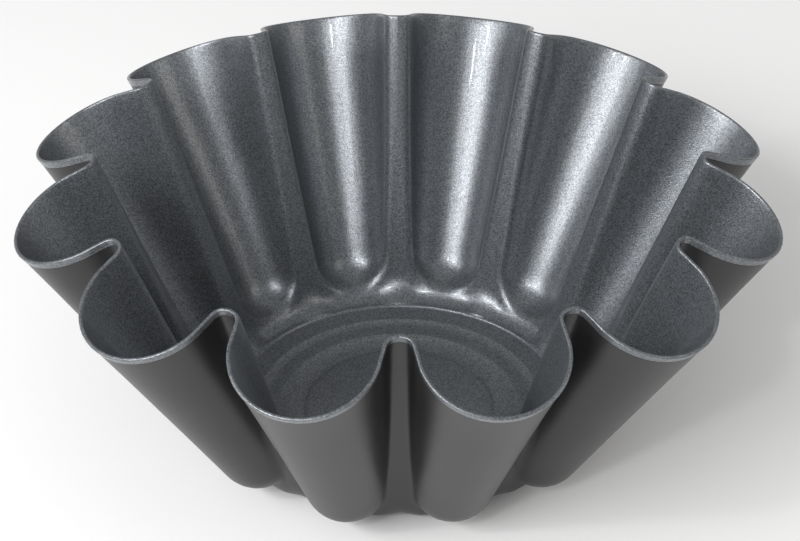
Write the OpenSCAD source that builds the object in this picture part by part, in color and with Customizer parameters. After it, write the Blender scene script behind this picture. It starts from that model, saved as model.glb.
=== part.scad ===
// Fluted bundt pan: one deep-drawn steel pressing with twelve flutes, a
// speckled non-stick coating inside and over the rim, and a plain dark
// coating outside. Lengths in mm, +Z up, resting face on z = 0, axis on Z.

/* [Pressing] */
// Height of the rim where it passes over a valley between two flutes
valley_rim_height = 90.6; // [88:0.1:94]
// Inner radius of the rim at a valley
valley_rim_radius = 85.4; // [84.5:0.1:86.5]
// Lean of the valley walls away from vertical, degrees
valley_lean = 19.3; // [18.5:0.1:20]
// Thickness of the steel sheet
sheet = 0.8; // [0.6:0.05:1]

/* [Rim] */
// How far the rim drops from a valley to the crown of a flute
rim_drop = 11.4; // [8:0.1:13]
// Bow of that drop, negative values keep it shallow near the valley
rim_bow = -0.22; // [-0.4:0.01:0]
// Radius the drop is measured out to
rim_reach = 109; // [107:0.5:111]
// How far down the outside the speckled coating wraps over the edge
lip_depth = 2.2; // [1.5:0.1:3]

/* [Flutes] */
// Distance from the axis to the centre of a flute's round toe
toe_radius = 57.3; // [56.8:0.1:57.8]
// Height of the centre of the toe
toe_height = 18.6; // [18:0.1:19.2]
// Radius of the toe
toe_round = 11.6; // [11.2:0.1:12]
// Distance from the axis to the flute's centre line near the top
crown_radius = 85.2; // [84.5:0.1:86]
// Height at which that upper distance is taken
crown_height = 75; // [74:0.5:76]
// Radius of the flute at that height
crown_round = 17.6; // [17:0.1:18]

/* [Valleys] */
// Rounding of the edges between a valley and its flutes, at the foot
foot_fillet = 1.2; // [1.1:0.1:1.6]
// Rounding of the same edges at the rim
rim_fillet = 6.8; // [6.4:0.1:7.4]
// Height above which that rounding grows
fillet_start = 27; // [22:1:32]
// How far the flat strip along a valley is set out at the rim
strip_set = 0.5; // [0.3:0.05:0.7]
// How deep that strip is cut into the rounding at the rim
strip_cut = 1; // [0.8:0.05:1.2]

/* [Floor] */
// Height of the floor's outer land, inside
land_height = 3.5; // [3.2:0.1:3.9]
// Rounding between the floor and the valley walls
corner_round = 6; // [5.5:0.1:6.2]
// How much larger that rounding is at the middle of a valley
valley_corner = 4.5; // [3:0.25:5]
// Angle from the middle of a valley at which it is back to normal, degrees
valley_corner_span = 7; // [6:0.5:8]
// Inner height of the middle step
step_height = 2.9; // [2.7:0.05:3.1]
// Inner height of the inner step
inner_step_height = 2.1; // [1.8:0.05:2.3]
// Radius of the raised outer step
outer_step_radius = 50.4; // [50:0.1:50.5]
// Radius of the middle step
middle_step_radius = 43.5; // [42.5:0.1:44.5]
// Radius of the flat centre disc
centre_radius = 28.4; // [27:0.2:29.4]
// Width of the slope inside the outer step
outer_slope = 0.9; // [0.7:0.05:1.5]
// Width of the slope inside the middle step
middle_slope = 3.4; // [2.5:0.1:4]
// Width of the slope round the centre disc
inner_slope = 7.9; // [6:0.1:8.2]
// Width of the gentler foot of that slope, next to the centre disc
inner_foot = 4.4; // [3:0.1:5]
// How far the foot rises
inner_foot_rise = 0.24; // [0.15:0.01:0.35]

/* [Coatings] */
// Thickness of each non-stick coating
coat = 0.06; // [0.05:0.01:0.1]

/* [Hidden] */
flutes = 12;
half_pitch = 180 / flutes;
// Divisions of half a flute, and of the whole ring
half_n = 6;
ring_n = 2 * half_n * flutes;
// The floor needs half as many
floor_n = ring_n / 2;
skin_out = sheet + 2 * coat;
steel_out = coat + sheet;
centre_height = skin_out;
// Radius where the floor begins
land_radius = 51;
// Rows of a profile, as fractions of the sweep from rim to floor
rows = [0.40, 0.64, 0.75, 0.82, 0.875, 0.92, 0.96, 1];
row_n = len(rows) + 2;

// Point inside the bowl that every profile is swept round, as [radius, height]
pivot = [30, 45];
end_angle = atan((land_height - pivot[1]) / (land_radius - pivot[0]));
// Nearest and farthest the surface can lie from the pivot, and the rim from
// the axis
ray_range = [10, 110];
rim_range = [60, 125];
// Times a range is halved to find a crossing, and the step for a slope
halvings = 26;
slope_step = 0.02;

// Share of even spacing across half a flute at the rim and how much it gains
// lower down, so that the second division follows the edge of the strip
even_share = 0.43;
even_gain = 0.62;
crowding = 3.5;
gain_rows = 0.72;
function spread(k, f) =
    let (s = k / half_n, even = even_share + even_gain * min(1, f / gain_rows))
    half_pitch * (even * s + (1 - even) * pow(s, crowding));

// Centre line of a flute, from toe to crown
axis_run = [crown_radius - toe_radius, crown_height - toe_height];
axis_len = norm(axis_run);
axis_dir = axis_run / axis_len;
taper_sin = (crown_round - toe_round) / axis_len;
taper_cos = sqrt(1 - taper_sin * taper_sin);

// Depth outside a tapering tube with a round toe, x along the flute's bearing
function flute_depth(x, y, z) =
    let (vx = x - toe_radius, vz = z - toe_height,
         a = vx * axis_dir[0] + vz * axis_dir[1],
         q = norm([vx - a * axis_dir[0], vz - a * axis_dir[1], y]))
    a * taper_cos + q * taper_sin >= 0
        ? q * taper_cos - a * taper_sin - toe_round
        : norm([vx, y, vz]) - toe_round;

// Rounding between floor and wall, t degrees from the middle of a valley
function corner_at(t) =
    let (away = min(1, abs(t) / valley_corner_span))
    corner_round + valley_corner * pow(1 - away * away, 2);

// Depth outside the round bowl between the flutes: leaning wall, rounded
// corner and level floor
function bowl_depth(r, t, z) =
    let (c = cos(valley_lean), s = sin(valley_lean),
         f = corner_at(t),
         corner_z = land_height + f,
         corner_r = valley_rim_radius
             + ((corner_z - valley_rim_height) * s - f) / c,
         a = r - corner_r, b = z - corner_z)
    (c * b + s * a < 0 && a > 0)
        ? norm([a, b]) - f
        : max((r - valley_rim_radius) * c - (z - valley_rim_height) * s,
              land_height - z);

// Two depths joined with a round of radius f
function joined(a, b, f) =
    max(f, min(a, b)) - norm([max(f - a, 0), max(f - b, 0)]);

// Depth outside the whole cavity, t degrees from the middle of a valley: the
// rounding starts a little inside the bowl, so the strip cuts it to an edge
function depth(r, t, z) =
    let (w = half_pitch - abs(t),
         up = min(1, max(0, (z - fillet_start) / (valley_rim_height - fillet_start))),
         strip = bowl_depth(r, t, z) - strip_set * up,
         f = foot_fillet + (rim_fillet - foot_fillet) * up)
    min(strip, joined(strip + strip_cut * up,
                      flute_depth(r * cos(w), r * sin(w), z), f));

// Height of the trimmed rim at a radius
function rim_z(r) =
    let (s = (r - valley_rim_radius) / (rim_reach - valley_rim_radius))
    valley_rim_height - rim_drop * (s + rim_bow * s * (1 - s));

// Radius of the rim at a bearing, by halving
function rim_r(t, lo = rim_range[0], hi = rim_range[1], n = halvings) =
    n == 0 ? (lo + hi) / 2
    : let (m = (lo + hi) / 2)
      depth(m, t, rim_z(m)) < 0 ? rim_r(t, m, hi, n - 1)
                                : rim_r(t, lo, m, n - 1);

// Distance from the pivot to the surface along a ray, by halving
function ray(t, a, lo = ray_range[0], hi = ray_range[1], n = halvings) =
    n == 0 ? (lo + hi) / 2
    : let (m = (lo + hi) / 2)
      depth(pivot[0] + m * cos(a), t, pivot[1] + m * sin(a)) < 0
          ? ray(t, a, m, hi, n - 1) : ray(t, a, lo, m, n - 1);

// Outward normal as [radial, tangential, vertical]
function facing(r, t, z) =
    let (e = slope_step, w = e * 180 / (PI * r),
         g = [depth(r + e, t, z) - depth(r - e, t, z),
              depth(r, t + w, z) - depth(r, t - w, z),
              depth(r, t, z + e) - depth(r, t, z - e)])
    g / norm(g);

// Everything known about one point: [radius, bearing, height, normal]
function at_point(r, t, z) = [r, t, z, facing(r, t, z)];
function rim_point(k) =
    let (t = spread(k, 0), r = rim_r(t)) at_point(r, t, rim_z(r));
function rim_angle(k) =
    let (p = rim_point(k)) atan2(p[2] - pivot[1], p[0] - pivot[0]);

// Lip line, a fixed way down the wall below the rim
function lip_point(k) =
    let (p = rim_point(k), n = p[3], run = norm([n[0], n[2]]),
         a = atan2(p[2] - lip_depth * n[0] / run - pivot[1],
                   p[0] + lip_depth * n[2] / run - pivot[0]),
         m = ray(p[1], a))
    at_point(pivot[0] + m * cos(a), p[1], pivot[1] + m * sin(a));

function row_point(j, k) =
    let (f = rows[j], t = spread(k, f),
         a = rim_angle(k) + (end_angle - rim_angle(k)) * f,
         m = ray(t, a))
    at_point(pivot[0] + m * cos(a), t, pivot[1] + m * sin(a));

// Half a flute, row by row from the rim to the floor's land
half_flute = [
    [for (k = [0:half_n]) rim_point(k)],
    [for (k = [0:half_n]) lip_point(k)],
    for (j = [0:len(rows) - 1]) [for (k = [0:half_n]) row_point(j, k)]
];

// Point m of row j all the way round, moved out from the cavity by d and up
// the wall by e
function shell_point(j, m, d, e = 0) =
    let (pitch = floor(m / (2 * half_n)), i = m - 2 * half_n * pitch,
         far = i > half_n, k = far ? 2 * half_n - i : i,
         p = half_flute[j][k], side = far ? -1 : 1,
         b = pitch * 2 * half_pitch - 90 + (far ? 2 * half_pitch - p[1] : p[1]),
         n = p[3],
         run = norm([n[0], n[2]]),
         r = p[0] + d * n[0] - e * n[2] / run,
         q = d * n[1] * side,
         z = p[2] + d * n[2] + e * n[0] / run)
    [r * cos(b) - q * sin(b), r * sin(b) + q * cos(b), z];

function shell_row(j, d, e = 0) = [for (m = [0:ring_n - 1]) shell_point(j, m, d, e)];

// The floor's steps as [radius, inner height], from the land to the centre disc
floor_steps = [
    [outer_step_radius, land_height],
    [outer_step_radius - outer_slope, step_height],
    [middle_step_radius, step_height],
    [middle_step_radius - middle_slope, inner_step_height],
    [centre_radius + inner_slope, inner_step_height],
    [centre_radius + inner_foot, centre_height + inner_foot_rise],
    [centre_radius, centre_height]
];
all_steps = len(floor_steps);
function floor_row(s, d) =
    [for (m = [0:floor_n - 1])
        let (b = m * 360 / floor_n - 90)
        [s[0] * cos(b), s[0] * sin(b), s[1] - d]];

// One surface, d out from the cavity, from row first down over some steps
function surface_points(first, d, steps = all_steps) = [
    for (j = [first:row_n - 1]) each shell_row(j, d),
    for (i = [0:steps - 1]) each floor_row(floor_steps[i], d)
];
// Where the floor's rings start among those points, and how many points
function floor_start(first) = (row_n - first) * ring_n;
function surface_size(first, steps = all_steps) = floor_start(first) + steps * floor_n;

// A band of facets between two rings of n points that start at a and b; the
// quads are split down alternate diagonals so both halves of a flute match
function band(a, b, n, flip) =
    [for (m = [0:n - 1])
        let (p = a + m, q = a + (m + 1) % n, r = b + (m + 1) % n, s = b + m,
             odd = (m % (2 * half_n)) >= half_n,
             one = odd ? [p, q, r] : [p, q, s],
             two = odd ? [p, r, s] : [q, r, s])
        each (flip ? [[one[2], one[1], one[0]], [two[2], two[1], two[0]]]
                   : [one, two])];
// The same from a full ring to one with half as many points
function halving(a, b, n, flip) =
    [for (m = [0:n / 2 - 1])
        let (p = a + 2 * m, q = a + 2 * m + 1, r = a + (2 * m + 2) % n,
             s = b + m, t = b + (m + 1) % (n / 2),
             f = [[p, q, s], [q, t, s], [q, r, t]])
        each (flip ? [for (g = f) [g[2], g[1], g[0]]] : f)];
function cap(a, n, flip) =
    [flip ? [for (m = [n - 1:-1:0]) a + m] : [for (m = [0:n - 1]) a + m]];

function surface_faces(first, base, flip, steps = all_steps) =
    let (f0 = base + floor_start(first))
    [
        for (j = [0:row_n - first - 2])
            each band(base + j * ring_n, base + (j + 1) * ring_n, ring_n, flip),
        each halving(f0 - ring_n, f0, ring_n, flip),
        for (j = [0:steps - 2])
            each band(f0 + j * floor_n, f0 + (j + 1) * floor_n, floor_n, flip)
    ];
function centre_cap(size, base, flip) = cap(base + size - floor_n, floor_n, flip);

// Flat middle of the centre disc, a little smaller than the disc itself
disc_inset = 2;
disc_n = 36;
module disc(h) cylinder(h = h, r = centre_radius - disc_inset, $fn = disc_n);

// The pressed sheet itself: walls, steps and floor in one thickness
module steel_shell() {
    b = surface_size(0);
    color([0.55, 0.56, 0.58])
    union() {
        polyhedron(
            points = concat(surface_points(0, coat), surface_points(0, steel_out)),
            faces = concat(
                surface_faces(0, 0, true), centre_cap(b, 0, true),
                surface_faces(0, b, false), centre_cap(b, b, false),
                band(0, b, ring_n, false)),
            convexity = 12);
        translate([0, 0, coat]) disc(sheet);
    }
}

// Speckled non-stick: the whole cavity, over the cut edge and down the lip
module inner_coating() {
    b = surface_size(0);
    // Extra rings round the rim: cavity side up, outside up, outside down
    c = 2 * b;
    color([0.27, 0.29, 0.32])
    union() {
        polyhedron(
            points = concat(
                surface_points(0, 0),
                surface_points(0, coat),
                shell_row(0, 0, coat),
                shell_row(0, skin_out, coat),
                shell_row(1, skin_out),
                shell_row(1, steel_out),
                shell_row(0, steel_out)),
            faces = concat(
                surface_faces(0, 0, true), centre_cap(b, 0, true),
                surface_faces(0, b, false), centre_cap(b, b, false),
                band(c, 0, ring_n, true),
                band(c, c + ring_n, ring_n, false),
                band(c + ring_n, c + 2 * ring_n, ring_n, false),
                band(c + 2 * ring_n, c + 3 * ring_n, ring_n, false),
                band(c + 4 * ring_n, c + 3 * ring_n, ring_n, true),
                band(b, c + 4 * ring_n, ring_n, true)),
            convexity = 12);
        translate([0, 0, steel_out]) disc(coat);
    }
}

// Plain dark coating: the outside from below the lip to the last slope's foot
module outer_coating() {
    steps = all_steps - 1;
    b = surface_size(1, steps);
    color([0.2, 0.2, 0.2])
    polyhedron(
        points = concat(
            surface_points(1, steel_out, steps),
            surface_points(1, skin_out, steps)),
        faces = concat(
            surface_faces(1, 0, true, steps),
            surface_faces(1, b, false, steps),
            band(0, b, ring_n, false),
            band(b - floor_n, 2 * b - floor_n, floor_n, true)),
        convexity = 12);
}

// The same coating on the foot of the last slope and the disc that the pan
// stands on
module base_coating() {
    slope = floor_steps[all_steps - 2];
    level = floor_steps[all_steps - 1];
    n = floor_n;
    color([0.2, 0.2, 0.2])
    union() {
        polyhedron(
            points = concat(
                floor_row(slope, steel_out), floor_row(level, steel_out),
                floor_row(slope, skin_out), floor_row(level, skin_out)),
            faces = concat(
                band(0, n, n, true), cap(n, n, true),
                band(2 * n, 3 * n, n, false), cap(3 * n, n, false),
                band(0, 2 * n, n, false)));
        disc(coat);
    }
}

steel_shell();
inner_coating();
outer_coating();
base_coating();
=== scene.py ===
"""Looks for a fluted bundt pan: one drawn steel sheet between two non-stick coatings.

Lengths in the shape section are millimetres; everything handed to Blender is in metres.
"""
import math

import bpy
import numpy as np
from mathutils import Matrix, Vector


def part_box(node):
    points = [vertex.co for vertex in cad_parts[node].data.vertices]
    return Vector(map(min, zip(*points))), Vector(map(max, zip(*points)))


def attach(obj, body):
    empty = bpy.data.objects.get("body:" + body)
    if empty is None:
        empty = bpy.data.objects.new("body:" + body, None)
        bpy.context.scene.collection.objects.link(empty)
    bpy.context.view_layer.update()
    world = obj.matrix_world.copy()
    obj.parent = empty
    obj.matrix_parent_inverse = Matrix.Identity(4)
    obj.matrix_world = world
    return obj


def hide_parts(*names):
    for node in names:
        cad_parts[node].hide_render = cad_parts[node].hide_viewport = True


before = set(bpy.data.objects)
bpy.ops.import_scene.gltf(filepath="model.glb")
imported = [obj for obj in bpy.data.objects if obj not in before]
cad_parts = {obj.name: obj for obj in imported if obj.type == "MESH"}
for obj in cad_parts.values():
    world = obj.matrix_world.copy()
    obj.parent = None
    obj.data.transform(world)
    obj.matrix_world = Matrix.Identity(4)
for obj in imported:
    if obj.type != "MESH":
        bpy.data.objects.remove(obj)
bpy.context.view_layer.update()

MM = 0.001

# --- Shape -----------------------------------------------------------------

FLUTES = 12
HALF_PITCH = math.pi / FLUTES
HALF_STEPS = 24
WALL_ROWS = 31
WALL_CROWDING = 1.6
PROFILE_STEPS = 3

COAT = 0.06
SHEET = 0.8
SKIN = SHEET + 2 * COAT

# Wall between the flutes: leans out from the floor to the rim over a valley
RIM_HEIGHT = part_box("inner_coating")[1].z / MM
VALLEY_RADIUS = 85.4
VALLEY_LEAN = math.radians(19.3)
CORNER_ROUND = 6.0
VALLEY_CORNER = 4.5
VALLEY_CORNER_SPAN = math.radians(7)

# Trimmed rim: drops from each valley to the crown of each flute
RIM_DROP = 11.4
RIM_BOW = -0.22
RIM_REACH = 109.0

# Flutes: tapering tubes with a round toe
TOE = np.array([57.3, 18.6])
TOE_ROUND = 11.6
CROWN = np.array([85.2, 75.0])
CROWN_ROUND = 17.6

# Valleys: rounded edges, and a softened strip along each one
FOOT_FILLET = 1.2
RIM_FILLET = 6.8
FILLET_START = 27.0
STRIP_SET = 0.44
STRIP_CUT = 1.0
STRIP_ROUND = 1.4

# Stepped floor as (radius, height, rounding), from the land to the centre
LAND_RADIUS = 51.0
LAND_HEIGHT = 3.5
FLOOR_STEPS = (
    (50.4, 3.5, 0.2),
    (49.9, 2.9, 0.25),
    (43.5, 2.9, 0.25),
    (42.6, 2.5, 0.4),
    (41.3, 2.2, 0.6),
    (39.9, 2.1, 0.6),
    (36.4, 2.1, 0.25),
    (34.9, 1.58, 0.6),
    (32.8, 1.16, 0.9),
    (30.2, 0.95, 0.9),
    (29.0, 0.92, 0.3),
    (28.3, 1.08, 0.3),
)

# Rays that find the wall: their pivot, their reach and where the rim is sought
PIVOT = np.array([30.0, 45.0])
RAY_RANGE = (10.0, 110.0)
RIM_RANGE = (60.0, 125.0)
HALVINGS = 34
PROBE_TURN = math.radians(1)
NORMAL_STEP = 0.3

# Bearings: share spread evenly at the rim, its gain lower down, and where it ends
EVEN_AT_RIM = 0.43
EVEN_GAIN = 0.62
EVEN_BELOW = 0.72
BEARING_CROWDING = 3.5

# Longest part of a floor edge that one rounding may take
MOST_OF_EDGE = 0.45

# Lip: where the speckled coating wraps over the rim
LIP_DEPTH = 2.2
LIP_FLARE = 0.3
FLARE_LENGTH = 9.0
WALL_LENGTH = 110.0
FLARE_FADE = 4
LIP_PROUD = 0.12
LIP_FOOT_SHARE = 0.7
EDGE_ROUND = 0.46
EDGE_STEPS = 5
STEEL_GAP = COAT * 0.2


def flute_depth(x, y, z):
    """Depth outside one flute's tube; x runs along the flute's bearing."""
    run = CROWN - TOE
    length = np.hypot(*run)
    along = run / length
    taper = (CROWN_ROUND - TOE_ROUND) / length
    slope = math.sqrt(1 - taper * taper)
    vx = x - TOE[0]
    vz = z - TOE[1]
    a = vx * along[0] + vz * along[1]
    q = np.sqrt((vx - a * along[0]) ** 2 + (vz - a * along[1]) ** 2 + y * y)
    cone = q * slope - a * taper - TOE_ROUND
    toe = np.sqrt(vx * vx + y * y + vz * vz) - TOE_ROUND
    return np.where(a * slope + q * taper >= 0, cone, toe)


def corner_rounding(t):
    """Rounding between floor and wall, largest at the middle of a valley."""
    away = np.minimum(1, np.abs(t) / VALLEY_CORNER_SPAN)
    return CORNER_ROUND + VALLEY_CORNER * (1 - away ** 2) ** 2


def bowl_depth(r, t, z):
    """Depth outside the round bowl between the flutes."""
    c = math.cos(VALLEY_LEAN)
    s = math.sin(VALLEY_LEAN)
    rounding = corner_rounding(t)
    corner_z = LAND_HEIGHT + rounding
    corner_r = VALLEY_RADIUS + ((corner_z - RIM_HEIGHT) * s - rounding) / c
    a = r - corner_r
    b = z - corner_z
    flat = np.maximum((r - VALLEY_RADIUS) * c - (z - RIM_HEIGHT) * s, LAND_HEIGHT - z)
    in_corner = (c * b + s * a < 0) & (a > 0)
    return np.where(in_corner, np.hypot(a, b) - rounding, flat)


def joined(a, b, f):
    """Two depths joined with a round of radius f."""
    corner = np.hypot(np.maximum(f - a, 0), np.maximum(f - b, 0))
    return np.maximum(f, np.minimum(a, b)) - corner


def depth(r, t, z):
    """Depth outside the cavity at bearing t from the middle of a valley."""
    w = HALF_PITCH - np.abs(t)
    up = np.clip((z - FILLET_START) / (RIM_HEIGHT - FILLET_START), 0, 1)
    f = FOOT_FILLET + (RIM_FILLET - FOOT_FILLET) * up
    strip = bowl_depth(r, t, z) - STRIP_SET * up
    b = flute_depth(r * np.cos(w), r * np.sin(w), z)
    ridge = joined(strip + STRIP_CUT * up, b, f)
    return joined(strip, ridge, STRIP_ROUND * up)


def rim_z(r):
    """Height of the trimmed rim at a radius."""
    s = (r - VALLEY_RADIUS) / (RIM_REACH - VALLEY_RADIUS)
    return RIM_HEIGHT - RIM_DROP * (s + RIM_BOW * s * (1 - s))


def halve(inside, low, high, steps=HALVINGS):
    """Crossing of a rising test between low and high, element by element."""
    for _ in range(steps):
        middle = (low + high) / 2
        held = inside(middle)
        low = np.where(held, middle, low)
        high = np.where(held, high, middle)
    return (low + high) / 2


def swept(t, angle):
    """Radius and height where rays from the pivot at these angles meet the wall."""
    c = np.cos(angle)
    s = np.sin(angle)
    m = halve(
        lambda d: depth(PIVOT[0] + d * c, t, PIVOT[1] + d * s) < 0,
        np.full_like(angle, RAY_RANGE[0]),
        np.full_like(angle, RAY_RANGE[1]),
    )
    return PIVOT[0] + m * c, PIVOT[1] + m * s


def normals(r, t, z, e=NORMAL_STEP):
    """Outward normals as radial, tangential and vertical parts."""
    w = e / r
    g = np.stack(
        [
            depth(r + e, t, z) - depth(r - e, t, z),
            depth(r, t + w, z) - depth(r, t - w, z),
            depth(r, t, z + e) - depth(r, t, z - e),
        ],
        -1,
    )
    return g / np.linalg.norm(g, axis=-1, keepdims=True)


def spread(low):
    """Bearings across half a flute, crowded towards the valley near the rim."""
    u = np.linspace(0, 1, HALF_STEPS + 1)
    even = EVEN_AT_RIM + EVEN_GAIN * min(1, low / EVEN_BELOW)
    return HALF_PITCH * (even * u + (1 - even) * u ** BEARING_CROWDING)


def rim_line():
    """Bearing, radius and height of the cavity's top edge over half a flute."""
    t = spread(0)
    r = halve(
        lambda m: depth(m, t, rim_z(m)) < 0,
        np.full_like(t, RIM_RANGE[0]),
        np.full_like(t, RIM_RANGE[1]),
    )
    return t, r, rim_z(r)


def lip_rows(distances):
    """Rows on the cavity wall at these distances below the rim."""
    t, r, z = rim_line()
    start = np.arctan2(z - PIVOT[1], r - PIVOT[0])
    probe_r, probe_z = swept(t, start - PROBE_TURN)
    turn = PROBE_TURN / np.hypot(probe_r - r, probe_z - z)
    rows = []
    for distance in distances:
        row_r, row_z = (r, z) if distance == 0 else swept(t, start - turn * distance)
        rows.append((row_r, t, row_z))
    return rows


def wall_rows(first, rows):
    """Rows swept from below the lip down to the floor's land, and their shares."""
    _, r0, z0 = rim_line()
    start = np.arctan2(z0 - PIVOT[1], r0 - PIVOT[0])
    end = math.atan2(LAND_HEIGHT - PIVOT[1], LAND_RADIUS - PIVOT[0])
    made = []
    shares = []
    for f in np.linspace(0, 1, rows + 1)[1:]:
        g = first + (1 - first) * (1 - (1 - f) ** WALL_CROWDING)
        t = spread(g)
        r, z = swept(t, start + (end - start) * g)
        made.append((r, t, z))
        shares.append(g)
    return made, shares


def ring(row, out, up=0.0):
    """A full ring of points from one half-flute row, moved out and up the wall."""
    r, t, z = row
    n = normals(r, t, z)
    run = np.hypot(n[:, 0], n[:, 2])
    radial = r + out * n[:, 0] - up * n[:, 2] / run
    across = out * n[:, 1]
    height = z + out * n[:, 2] + up * n[:, 0] / run
    near = slice(0, HALF_STEPS)
    far = slice(HALF_STEPS, 0, -1)
    bearing = np.concatenate([t[near], 2 * HALF_PITCH - t[far]])
    radial = np.concatenate([radial[near], radial[far]])
    across = np.concatenate([across[near], -across[far]])
    height = np.concatenate([height[near], height[far]])
    points = []
    for k in range(FLUTES):
        b = bearing + k * 2 * HALF_PITCH - math.pi / 2
        x = radial * np.cos(b) - across * np.sin(b)
        y = radial * np.sin(b) + across * np.cos(b)
        points.append(np.stack([x, y, height], -1))
    return np.concatenate(points)


RING_SIZE = 2 * HALF_STEPS * FLUTES


def flat_ring(radius, height):
    """A full ring of points at one radius and height."""
    t = spread(1)
    bearing = np.concatenate([t[:HALF_STEPS], 2 * HALF_PITCH - t[HALF_STEPS:0:-1]])
    b = np.concatenate([bearing + k * 2 * HALF_PITCH for k in range(FLUTES)])
    b = b - math.pi / 2
    return np.stack(
        [radius * np.cos(b), radius * np.sin(b), np.full_like(b, height)], -1
    )


def rounded_profile(corners, steps=PROFILE_STEPS):
    """Points along a polyline whose corners are (radius, height, rounding)."""
    points = [np.array(c[:2]) for c in corners]
    ends = points[1:] + [np.array([0.0, corners[-1][1]])]
    before = np.array([LAND_RADIUS, LAND_HEIGHT])
    made = []
    for corner, point, after in zip(corners, points, ends):
        back = before - point
        ahead = after - point
        room = min(np.hypot(*back) * MOST_OF_EDGE, np.hypot(*ahead) * MOST_OF_EDGE)
        reach = min(corner[2], room)
        a = point + back / np.hypot(*back) * reach
        b = point + ahead / np.hypot(*ahead) * reach
        for u in np.linspace(0, 1, steps):
            made.append((1 - u) ** 2 * a + 2 * u * (1 - u) * point + u * u * b)
        before = point
    return made


FLOOR_PROFILE = rounded_profile(FLOOR_STEPS)
INNER_RADII = (16.0, 3.0)

# The base coating takes the disc and the last corners of the slope round it
BASE_CORNERS = 3
BASE_RINGS = len(INNER_RADII) + BASE_CORNERS * PROFILE_STEPS


def floor_rings(drop):
    """Rings of the stepped floor down to a small ring at the centre."""
    rings = [flat_ring(r, z - drop) for r, z in FLOOR_PROFILE]
    level = FLOOR_STEPS[-1][1] - drop
    return rings + [flat_ring(r, level) for r in INNER_RADII]


# --- Mesh building ---------------------------------------------------------


def new_piece(name, rings, closed_ends, material):
    """A mesh from rings of points joined in order.

    Ends are capped with a fan; with no closed ends the last ring joins the first.
    """
    points = np.concatenate(rings) * MM
    count = len(rings)
    index = np.arange(RING_SIZE)
    after = (index + 1) % RING_SIZE
    faces = []
    for k in range(count - 1 if closed_ends else count):
        a = k * RING_SIZE
        b = (k + 1) % count * RING_SIZE
        faces.append(np.stack([a + index, b + index, b + after, a + after], -1))
    quads = np.concatenate(faces)
    mesh = bpy.data.meshes.new(name)
    extra = []
    triangles = []
    for end in closed_ends:
        base = 0 if end == "first" else (count - 1) * RING_SIZE
        centre = points[base : base + RING_SIZE].mean(0)
        tip = len(points) + len(extra)
        extra.append(centre)
        pair = (after, index) if end == "last" else (index, after)
        fan = np.stack([base + pair[0], base + pair[1], np.full(RING_SIZE, tip)], -1)
        triangles.append(fan)
    vertices = np.concatenate([points, np.array(extra)]) if extra else points
    polygons = [tuple(q) for q in quads.tolist()]
    for fan in triangles:
        polygons += [tuple(f) for f in fan.tolist()]
    mesh.from_pydata(vertices.tolist(), [], polygons)
    mesh.validate()
    mesh.polygons.foreach_set("use_smooth", np.ones(len(mesh.polygons), bool))
    mesh.materials.append(material)
    mesh.update()
    piece = bpy.data.objects.new(name, mesh)
    bpy.context.scene.collection.objects.link(piece)
    return piece


def inset(distance):
    """How far the sheet stands in from the rim's line this far below it."""
    return -LIP_FLARE * (1 - (1 - min(1.0, distance / FLARE_LENGTH)) ** 2)


LIP_LEVELS = (0.0, 0.28, 0.6, 1.0, 1.5, 1.95, LIP_DEPTH)
LIP = dict(zip(LIP_LEVELS, lip_rows(LIP_LEVELS)))
WALL_START = 0.04
WALL, SHARES = wall_rows(WALL_START, WALL_ROWS)
FIRST_BELOW = 2.6
WALL = lip_rows((FIRST_BELOW,)) + WALL
SHARES = [0.0] + SHARES


def surface(out, levels):
    """One whole face of the sheet, from these lip levels down to the centre."""
    rings = [ring(LIP[d], out + inset(d)) for d in levels]
    for row, share in zip(WALL, SHARES):
        below = max(FIRST_BELOW, share * WALL_LENGTH)
        rings.append(ring(row, out + inset(below) * (1 - share ** FLARE_FADE)))
    return rings + floor_rings(out)


def rim_rounding(low, high):
    """Rings over the sheet's edge from the cavity side to the outside."""
    rings = []
    for u in np.linspace(0, math.pi / 2, EDGE_STEPS):
        out = low + EDGE_ROUND * (1 - math.cos(u))
        rings.append(ring(LIP[0.0], out, -EDGE_ROUND * (1 - math.sin(u))))
    for u in np.linspace(math.pi / 2, 0, EDGE_STEPS):
        out = high - EDGE_ROUND * (1 - math.cos(u))
        rings.append(ring(LIP[0.0], out, -EDGE_ROUND * (1 - math.sin(u))))
    return rings


def inner_coating_rings():
    """Closed section: cavity face, over the rim, down the lip, back inside."""
    cavity = surface(0.0, LIP_LEVELS[2:])[::-1]
    over = rim_rounding(0.0, SKIN + LIP_PROUD)
    lip = [ring(LIP[d], SKIN + LIP_PROUD + inset(d)) for d in LIP_LEVELS[2:-1]]
    foot = [
        ring(LIP[LIP_DEPTH], SKIN + LIP_PROUD * LIP_FOOT_SHARE + inset(LIP_DEPTH)),
        ring(LIP[LIP_DEPTH], SHEET + COAT + inset(LIP_DEPTH)),
    ]
    inside = [ring(LIP[d], SHEET + COAT + inset(d)) for d in LIP_LEVELS[::-1][1:-1]]
    under = surface(COAT, LIP_LEVELS[1:])
    return cavity + over + lip + foot + inside + under


def outer_coating_rings():
    """Closed section: outside face and the face against the steel."""
    outside = surface(SKIN, LIP_LEVELS[-1:])[:-BASE_RINGS]
    inside = surface(SHEET + COAT, LIP_LEVELS[-1:])[:-BASE_RINGS]
    return inside[::-1] + outside


def base_coating_rings():
    """Closed section: the resting disc with the slope's foot, and the steel's side."""
    start = -BASE_RINGS - 1
    inside = floor_rings(SHEET + COAT)[start:]
    return inside[::-1] + floor_rings(SKIN)[start:]


def steel_rings():
    """Closed section: both faces of the sheet, held just inside the coatings."""
    inside = surface(COAT + STEEL_GAP, LIP_LEVELS[2:])[::-1]
    return inside + surface(SHEET + COAT - STEEL_GAP, LIP_LEVELS[2:])


# --- Materials -------------------------------------------------------------


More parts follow.
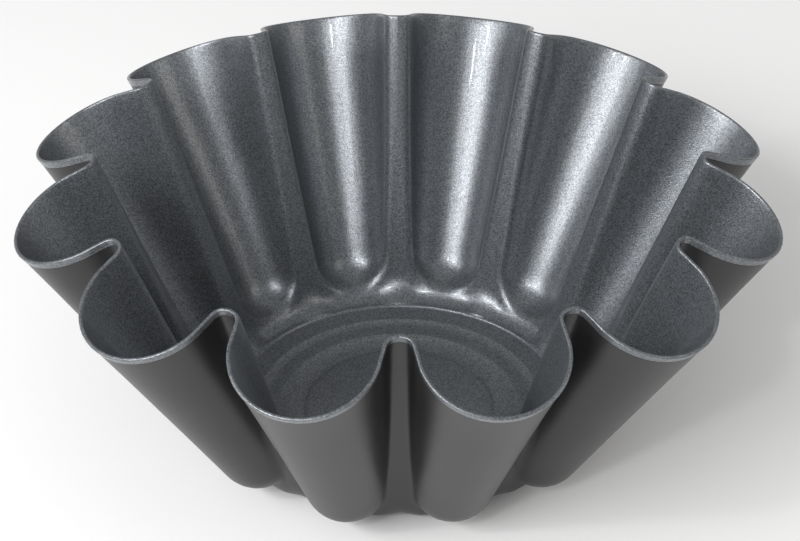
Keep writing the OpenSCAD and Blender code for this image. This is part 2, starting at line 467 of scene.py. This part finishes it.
class Nodes:
    """Short way to add and link shader nodes."""

    def __init__(self, name):
        self.material = bpy.data.materials.new(name)
        self.material.use_nodes = True
        self.tree = self.material.node_tree
        self.shader = self.tree.nodes["Principled BSDF"]

    def add(self, kind, **values):
        node = self.tree.nodes.new(kind)
        for key, value in values.items():
            if hasattr(node, key):
                setattr(node, key, value)
            else:
                node.inputs[key.replace("_", " ")].default_value = value
        return node

    def link(self, source, target):
        self.tree.links.new(source, target)

    def ramp(self, source, stops):
        node = self.add("ShaderNodeValToRGB")
        elements = node.color_ramp.elements
        while len(elements) < len(stops):
            elements.new(0.5)
        for element, (place, colour) in zip(elements, stops):
            element.position = place
            element.color = (*colour, 1)
        self.link(source, node.inputs["Fac"])
        return node.outputs["Color"]


def speckled_nonstick():
    """Dark blue-grey coating with fine metallic flake."""
    n = Nodes("speckled_nonstick")
    place = n.add("ShaderNodeTexCoord").outputs["Object"]
    flake = n.add("ShaderNodeTexVoronoi", Scale=3700.0, Randomness=1.0)
    n.link(place, flake.inputs["Vector"])
    split = n.add("ShaderNodeSeparateColor")
    n.link(flake.outputs["Color"], split.inputs["Color"])
    colour = n.ramp(
        split.outputs["Red"],
        [
            (0.0, (0.068, 0.075, 0.083)),
            (1.0, (0.207, 0.220, 0.236)),
        ],
    )
    n.link(colour, n.shader.inputs["Base Color"])
    grain = n.add("ShaderNodeTexNoise", Scale=3200.0, Detail=1.0)
    n.link(place, grain.inputs["Vector"])
    bump = n.add("ShaderNodeBump", Strength=1.0, Distance=0.00007)
    n.link(grain.outputs["Fac"], bump.inputs["Height"])
    n.link(bump.outputs["Normal"], n.shader.inputs["Normal"])
    n.shader.inputs["Metallic"].default_value = 0.6
    n.shader.inputs["Roughness"].default_value = 0.30
    n.shader.inputs["Coat Weight"].default_value = 0.3
    n.shader.inputs["Coat Roughness"].default_value = 0.09
    return n.material


def outer_lacquer():
    """Smooth satin charcoal coating."""
    n = Nodes("outer_lacquer")
    place = n.add("ShaderNodeTexCoord").outputs["Object"]
    mottle = n.add("ShaderNodeTexNoise", Scale=45.0, Detail=6.0, Roughness=0.6)
    n.link(place, mottle.inputs["Vector"])
    colour = n.ramp(
        mottle.outputs["Fac"],
        [(0.3, (0.006, 0.006, 0.006)), (0.7, (0.011, 0.011, 0.011))],
    )
    n.link(colour, n.shader.inputs["Base Color"])
    grain = n.add("ShaderNodeTexNoise", Scale=1800.0, Detail=3.0)
    n.link(place, grain.inputs["Vector"])
    bump = n.add("ShaderNodeBump", Strength=0.3, Distance=0.00002)
    n.link(grain.outputs["Fac"], bump.inputs["Height"])
    n.link(bump.outputs["Normal"], n.shader.inputs["Normal"])
    n.shader.inputs["Roughness"].default_value = 0.38
    n.shader.inputs["Specular IOR Level"].default_value = 0.54
    return n.material


def drawn_steel():
    """Bare drawn sheet, hidden between the coatings."""
    n = Nodes("drawn_steel")
    place = n.add("ShaderNodeTexCoord").outputs["Object"]
    grain = n.add("ShaderNodeTexNoise", Scale=900.0, Detail=4.0)
    n.link(place, grain.inputs["Vector"])
    colour = n.ramp(
        grain.outputs["Fac"], [(0.3, (0.45, 0.46, 0.48)), (0.7, (0.6, 0.61, 0.63))]
    )
    n.link(colour, n.shader.inputs["Base Color"])
    n.shader.inputs["Metallic"].default_value = 1.0
    n.shader.inputs["Roughness"].default_value = 0.4
    return n.material


def build_pan():
    """The pieces, each standing for its CAD node."""
    lacquer = outer_lacquer()
    pieces = (
        ("pan_inner_coating", inner_coating_rings, speckled_nonstick(),
         "inner_coating", "speckled_nonstick"),
        ("pan_outer_coating", outer_coating_rings, lacquer,
         "outer_coating", "outer_lacquer"),
        ("pan_base_coating", base_coating_rings, lacquer,
         "base_coating", "outer_lacquer"),
        ("pan_steel_shell", steel_rings, drawn_steel(), "steel_shell", "steel"),
    )
    for name, rings, material, node, slot in pieces:
        ends = () if node == "outer_coating" else ("first", "last")
        piece = new_piece(name, rings(), ends, material)
        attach(piece, "root")
        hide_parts(node)


# --- Stage -----------------------------------------------------------------


FLOOR_SIZE = 6.0
FLOOR_DROP = 0.0002


def build_floor():
    """Plain pale floor, just under the resting disc."""
    bpy.ops.mesh.primitive_plane_add(size=FLOOR_SIZE, location=(0, 0, -FLOOR_DROP))
    floor = bpy.context.object
    floor.name = "floor"
    n = Nodes("floor_paint")
    n.shader.inputs["Base Color"].default_value = (0.90, 0.90, 0.90, 1)
    n.shader.inputs["Roughness"].default_value = 0.9
    floor.data.materials.append(n.material)


def direction(azimuth, elevation):
    """Unit vector from the pan; azimuth 0 is the camera's side, positive right."""
    a = math.radians(azimuth)
    e = math.radians(elevation)
    return Vector((math.sin(a) * math.cos(e), -math.cos(a) * math.cos(e), math.sin(e)))


AIM = Vector((0, 0, 0.05))


def softbox(name, azimuth, elevation, distance, size, power, colour=(1, 1, 1)):
    """A rectangular area light aimed at the middle of the pan."""
    data = bpy.data.lights.new(name, "AREA")
    data.shape = "RECTANGLE"
    data.size, data.size_y = size
    data.energy = power
    data.color = colour
    light = bpy.data.objects.new(name, data)
    back = direction(azimuth, elevation)
    light.location = AIM + back * distance
    light.rotation_mode = "QUATERNION"
    light.rotation_quaternion = (-back).to_track_quat("-Z", "Y")
    bpy.context.scene.collection.objects.link(light)


WORLD_STRENGTH = 0.5


def build_lights():
    """A key and two lamps from the left, weak sides, and a pale surround."""
    softbox("key", -45, 34, 1.3, (0.62, 0.46), 9.0)
    softbox("key_side", -15, 34, 1.3, (0.62, 0.46), 4.4)
    softbox("key_lamp_a", -18, 39, 1.28, (0.06, 0.08), 1.5)
    softbox("key_lamp_b", -48, 39, 1.28, (0.06, 0.08), 1.5)
    softbox("side", -75, 34, 1.3, (0.62, 0.46), 3.2)
    softbox("fill", 72, 34, 1.3, (0.62, 0.46), 1.6, (1.0, 0.95, 0.88))
    world = bpy.data.worlds.new("studio")
    world.use_nodes = True
    background = world.node_tree.nodes["Background"]
    background.inputs["Color"].default_value = (1, 1, 1, 1)
    background.inputs["Strength"].default_value = WORLD_STRENGTH
    bpy.context.scene.world = world
    bpy.context.scene.view_settings.view_transform = "Standard"


CAMERA_PLACE = Vector((-0.0012, -0.5180, 0.4023))
CAMERA_PITCH = math.radians(34.13)
CAMERA_YAW = math.radians(0.180)
CAMERA_ROLL = math.radians(-0.128)
CAMERA_LENS = 96.13
SENSOR_WIDTH = 36
CLIP_RANGE = (0.01, 20)


def build_camera():
    """Camera looking down into the bowl from the front."""
    forward = Vector(
        (
            math.sin(CAMERA_YAW) * math.cos(CAMERA_PITCH),
            math.cos(CAMERA_YAW) * math.cos(CAMERA_PITCH),
            -math.sin(CAMERA_PITCH),
        )
    )
    right = Vector((math.cos(CAMERA_YAW), -math.sin(CAMERA_YAW), 0))
    up = right.cross(forward)
    rolled_right = right * math.cos(CAMERA_ROLL) + up * math.sin(CAMERA_ROLL)
    rolled_up = up * math.cos(CAMERA_ROLL) - right * math.sin(CAMERA_ROLL)
    data = bpy.data.cameras.new("camera")
    data.lens = CAMERA_LENS
    data.sensor_width = SENSOR_WIDTH
    data.clip_start, data.clip_end = CLIP_RANGE
    camera = bpy.data.objects.new("camera", data)
    turn = Matrix((rolled_right, rolled_up, -forward)).transposed()
    camera.matrix_world = Matrix.Translation(CAMERA_PLACE) @ turn.to_4x4()
    bpy.context.scene.collection.objects.link(camera)
    bpy.context.scene.camera = camera


build_camera()
build_pan()
build_floor()
build_lights()

bpy.context.view_layer.update()
